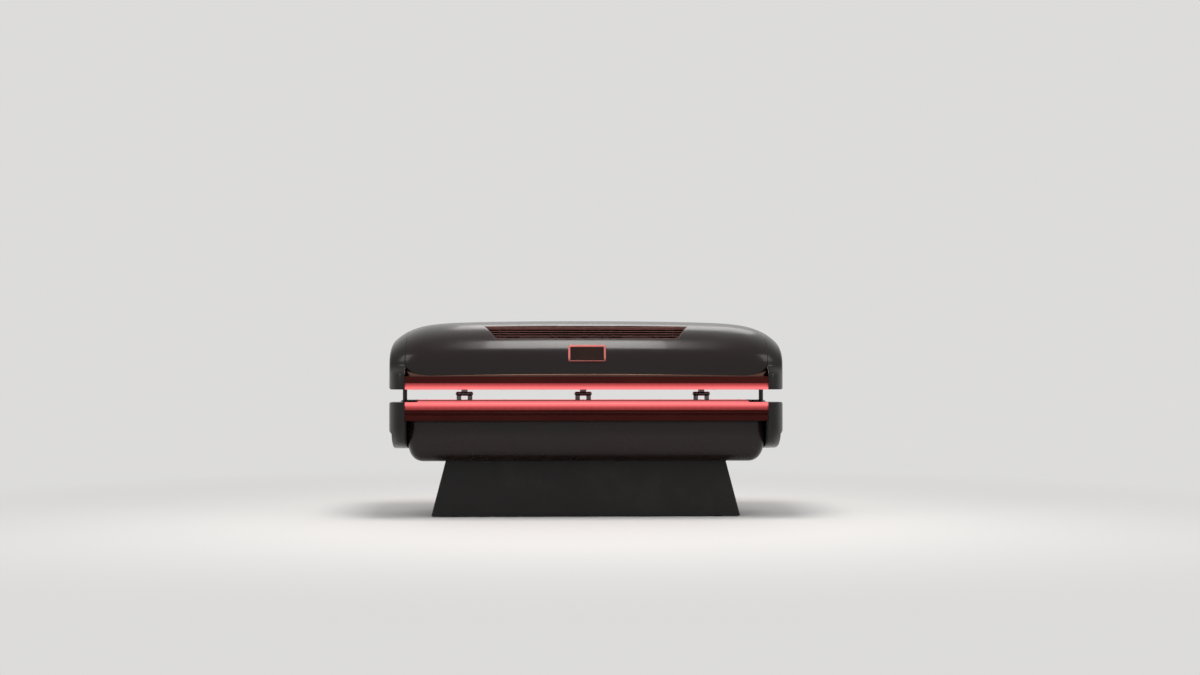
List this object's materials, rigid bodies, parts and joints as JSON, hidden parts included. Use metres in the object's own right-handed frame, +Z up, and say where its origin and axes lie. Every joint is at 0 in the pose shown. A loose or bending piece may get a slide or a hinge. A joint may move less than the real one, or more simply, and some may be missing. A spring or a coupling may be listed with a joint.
{
  "type": "red light therapy pod",
  "caption": "Clamshell light pod on a tapered pedestal: a hinged domed lid over a lying bench, with glowing rim bands, louvred vents, a small display and open ends.",
  "frame": {"origin": "on the floor under the middle of the pod's outline", "axes": "+X along the pod, -Y the front with the display, +Z up"},
  "size_m": [2.31, 1.13, 1.17],
  "materials": {
    "rubber_foot": "matt",
    "frame_steel": "satin",
    "pedestal_black": "matt powder coat",
    "screw_zinc": "zinc",
    "inlet_black": "matt",
    "rocker_red": "gloss",
    "tray_steel": "galvanised",
    "circuit_green": "satin",
    "shell_black": "deep gloss",
    "cap_black": "satin",
    "rail_dark": "satin",
    "sill_dark": "gloss",
    "light_nose": "lit diffuser",
    "strip_white": "white solder mask",
    "deck_black": "fine grain",
    "clear_acrylic": "clear",
    "lamp_board": "white solder mask",
    "heat_sink": "extruded",
    "fan_black": "satin",
    "hinge_steel": "satin",
    "pin_steel": "polished",
    "cylinder_black": "gloss enamel",
    "rod_chrome": "polished",
    "vent_black": "satin",
    "bezel_copper": "polished",
    "screen_glass": "dark gloss",
    "module_grey": "matt"
  },
  "bodies": {
    "bench": {"foot_pads": "rubber_foot", "base_frame": "frame_steel", "pedestal_shell": "pedestal_black", "rear_service_panel": "pedestal_black", "panel_screws": "screw_zinc", "mains_inlet": "inlet_black", "switch_housing": "inlet_black", "base_tray": "tray_steel", "power_supplies": "tray_steel", "control_board": "circuit_green", "tub_shell": "shell_black", "bench_frame": "frame_steel", "bench_rail_front": "rail_dark", "bench_rail_rear": "rail_dark", "bench_light_front": "light_nose", "bench_light_rear": "light_nose", "bench_light_strips": "strip_white", "bench_decks": "deck_black", "bench_acrylic": "clear_acrylic", "bench_lamp_boards": "lamp_board", "bench_heat_sinks": "heat_sink", "bench_fan_frames": "inlet_black", "bench_cap_left": "cap_black", "bench_cap_right": "cap_black", "hinge_bench_leaves": "hinge_steel", "hinge_pins": "pin_steel", "spring_studs_bench": "hinge_steel"},
    "lid": {"spring_studs_lid": "hinge_steel", "hinge_lid_leaves": "hinge_steel", "lid_frame": "frame_steel", "lid_rail_front": "rail_dark", "lid_rail_rear": "rail_dark", "lid_light_front": "light_nose", "lid_light_rear": "light_nose", "lid_light_strips": "strip_white", "lid_ledges": "deck_black", "lid_sills": "sill_dark", "lid_shell": "shell_black", "lid_cap_left": "cap_black", "lid_cap_right": "cap_black", "lid_acrylic": "clear_acrylic", "lid_lamp_boards": "lamp_board", "lid_heat_sinks": "heat_sink", "vent_grille": "vent_black", "lid_fan_frames": "inlet_black", "display_bezel": "bezel_copper", "display_screen": "screen_glass", "display_module": "module_grey"},
    "power_rocker": {"power_rocker": "rocker_red"},
    "bench_fan_left": {"bench_fan_rotor_left": "fan_black"},
    "bench_fan_right": {"bench_fan_rotor_right": "fan_black"},
    "lid_fan_1": {"lid_fan_rotor_1": "fan_black"},
    "lid_fan_2": {"lid_fan_rotor_2": "fan_black"},
    "lid_fan_3": {"lid_fan_rotor_3": "fan_black"},
    "lid_fan_4": {"lid_fan_rotor_4": "fan_black"},
    "spring_cylinder_left": {"spring_cylinder_left": "cylinder_black"},
    "spring_rod_left": {"spring_rod_left": "rod_chrome"},
    "spring_cylinder_right": {"spring_cylinder_right": "cylinder_black"},
    "spring_rod_right": {"spring_rod_right": "rod_chrome"}
  },
  "joints": [
    {"name": "lid_hinge", "type": "hinge", "parent": "bench", "child": "lid", "pos_m": [0, 0.505, 0.72], "axis": [-1, 0, 0], "range_deg": [0, 55]},
    {"name": "power_rocker_tilt", "type": "hinge", "parent": "bench", "child": "power_rocker", "pos_m": [0.22, 0.2985, 0.167], "axis": [0, 0, 1], "range_deg": [0, 14]},
    {"name": "lid_fan_1_spin", "type": "hinge", "parent": "lid", "child": "lid_fan_1", "pos_m": [-0.45, -0.39042, 1.06404], "axis": [0, -0.4462, 0.8949], "continuous": true},
    {"name": "lid_fan_2_spin", "type": "hinge", "parent": "lid", "child": "lid_fan_2", "pos_m": [-0.15, -0.39042, 1.06404], "axis": [0, -0.4462, 0.8949], "continuous": true},
    {"name": "lid_fan_3_spin", "type": "hinge", "parent": "lid", "child": "lid_fan_3", "pos_m": [0.15, -0.39042, 1.06404], "axis": [0, -0.4462, 0.8949], "continuous": true},
    {"name": "lid_fan_4_spin", "type": "hinge", "parent": "lid", "child": "lid_fan_4", "pos_m": [0.45, -0.39042, 1.06404], "axis": [0, -0.4462, 0.8949], "continuous": true},
    {"name": "bench_fan_left_spin", "type": "hinge", "parent": "bench", "child": "bench_fan_left", "pos_m": [-0.3, 0, 0.3478], "axis": [0, 0, 1], "continuous": true},
    {"name": "bench_fan_right_spin", "type": "hinge", "parent": "bench", "child": "bench_fan_right", "pos_m": [0.3, 0, 0.3478], "axis": [0, 0, 1], "continuous": true},
    {"name": "spring_cylinder_left_swing", "type": "hinge", "parent": "bench", "child": "spring_cylinder_left", "pos_m": [-1.13, 0.38, 0.57], "axis": [-1, 0, 0], "range_deg": [0, 27.5]},
    {"name": "spring_rod_left_swing", "type": "hinge", "parent": "lid", "child": "spring_rod_left", "pos_m": [-1.13, 0.38, 0.87], "axis": [-1, 0, 0], "range_deg": [-27.5, 0]},
    {"name": "spring_cylinder_right_swing", "type": "hinge", "parent": "bench", "child": "spring_cylinder_right", "pos_m": [1.13, 0.38, 0.57], "axis": [-1, 0, 0], "range_deg": [0, 27.5]},
    {"name": "spring_rod_right_swing", "type": "hinge", "parent": "lid", "child": "spring_rod_right", "pos_m": [1.13, 0.38, 0.87], "axis": [-1, 0, 0], "range_deg": [-27.5, 0]}
  ],
  "couplings": [
    {"joint": "spring_cylinder_left_swing", "follows": "lid_hinge", "ratio": 0.5},
    {"joint": "spring_rod_left_swing", "follows": "lid_hinge", "ratio": -0.5},
    {"joint": "spring_cylinder_right_swing", "follows": "lid_hinge", "ratio": 0.5},
    {"joint": "spring_rod_right_swing", "follows": "lid_hinge", "ratio": -0.5}
  ]
}
